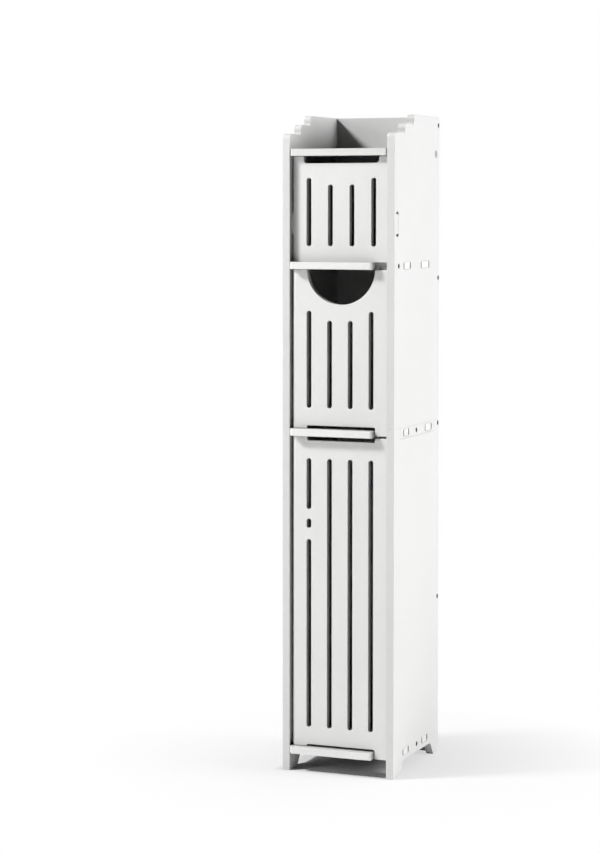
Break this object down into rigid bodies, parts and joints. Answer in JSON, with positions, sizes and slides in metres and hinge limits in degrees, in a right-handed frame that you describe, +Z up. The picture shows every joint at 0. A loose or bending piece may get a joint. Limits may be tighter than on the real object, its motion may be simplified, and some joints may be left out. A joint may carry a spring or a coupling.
{
  "type": "toilet roll storage cabinet",
  "caption": "Narrow upright floor cabinet of white slotted boards, with a stepped crown tray, a flip-up lid, a fixed slotted front, a roll door with a round cut-out and a tall lower door.",
  "frame": {"origin": "on the floor under the middle of the cabinet's box, shelf lips included", "axes": "+Z up; -Y towards the doors; +X to the right as seen from the front"},
  "size_m": [0.144, 0.172, 0.8],
  "materials": {
    "carcass_board": "satin white foamed PVC board",
    "front_board": "satin white foamed PVC board",
    "shelf_board": "satin white foamed PVC board",
    "pin_nylon": "grey moulded nylon",
    "catch_steel": "nickel plated",
    "screw_steel": "dark zinc, dull",
    "dowel_wood": "plain beech"
  },
  "bodies": {
    "carcass": {"upper_side_panel_left": "carcass_board", "upper_side_panel_right": "carcass_board", "lower_side_panel_left": "carcass_board", "lower_side_panel_right": "carcass_board", "side_joint_strip_left": "carcass_board", "side_joint_strip_right": "carcass_board", "side_joint_dowels": "dowel_wood", "upper_back_panel": "carcass_board", "lower_back_panel": "carcass_board", "upper_front_panel": "front_board", "upper_shelf": "shelf_board", "middle_shelf": "shelf_board", "bottom_shelf": "shelf_board", "lid_pivot_pin_left": "pin_nylon", "lid_pivot_pin_right": "pin_nylon", "catch_magnets": "catch_steel", "shelf_screws": "screw_steel", "back_panel_screws": "screw_steel"},
    "lid": {"top_lid": "front_board"},
    "roll_door_leaf": {"roll_door": "front_board", "roll_door_top_pin": "pin_nylon", "roll_door_bottom_pin": "pin_nylon", "roll_door_catch_disc": "catch_steel"},
    "lower_door_leaf": {"lower_door": "front_board", "lower_door_top_pin": "pin_nylon", "lower_door_bottom_pin": "pin_nylon", "lower_door_catch_disc": "catch_steel"}
  },
  "joints": [
    {"name": "lid_hinge", "type": "hinge", "parent": "carcass", "child": "lid", "pos_m": [0, 0.07275, 0.75355], "axis": [-1, 0, 0], "range_deg": [0, 90]},
    {"name": "roll_door_hinge", "type": "hinge", "parent": "carcass", "child": "roll_door_leaf", "pos_m": [-0.05625, -0.07275, 0.516], "axis": [0, 0, -1], "range_deg": [0, 95]},
    {"name": "lower_door_hinge", "type": "hinge", "parent": "carcass", "child": "lower_door_leaf", "pos_m": [-0.05625, -0.07275, 0.22], "axis": [0, 0, -1], "range_deg": [0, 95]}
  ]
}
